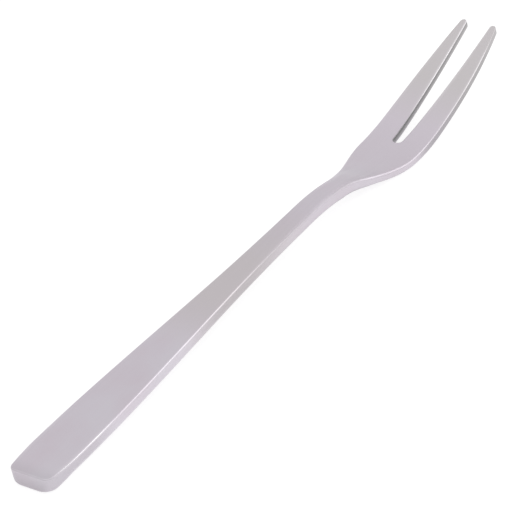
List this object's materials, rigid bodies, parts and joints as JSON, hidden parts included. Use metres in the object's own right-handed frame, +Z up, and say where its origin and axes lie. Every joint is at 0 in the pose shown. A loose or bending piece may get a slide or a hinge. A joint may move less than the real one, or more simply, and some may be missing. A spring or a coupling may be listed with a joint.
{
  "type": "fork",
  "caption": "Small satin steel fruit fork: flat tapering handle with a squared butt, narrow rounded neck and a curved head of slim tines split by a deep slot.",
  "frame": {"origin": "on the table under the middle of the fork's box, with the fork lying tines up on its butt and bowl", "axes": "+X along the fork from butt to tips, +Y to the left of that, +Z up from the table"},
  "size_m": [0.1402, 0.0106, 0.0103],
  "materials": {
    "steel": "satin"
  },
  "bodies": {
    "root": {"fork_body": "steel"}
  },
  "joints": []
}
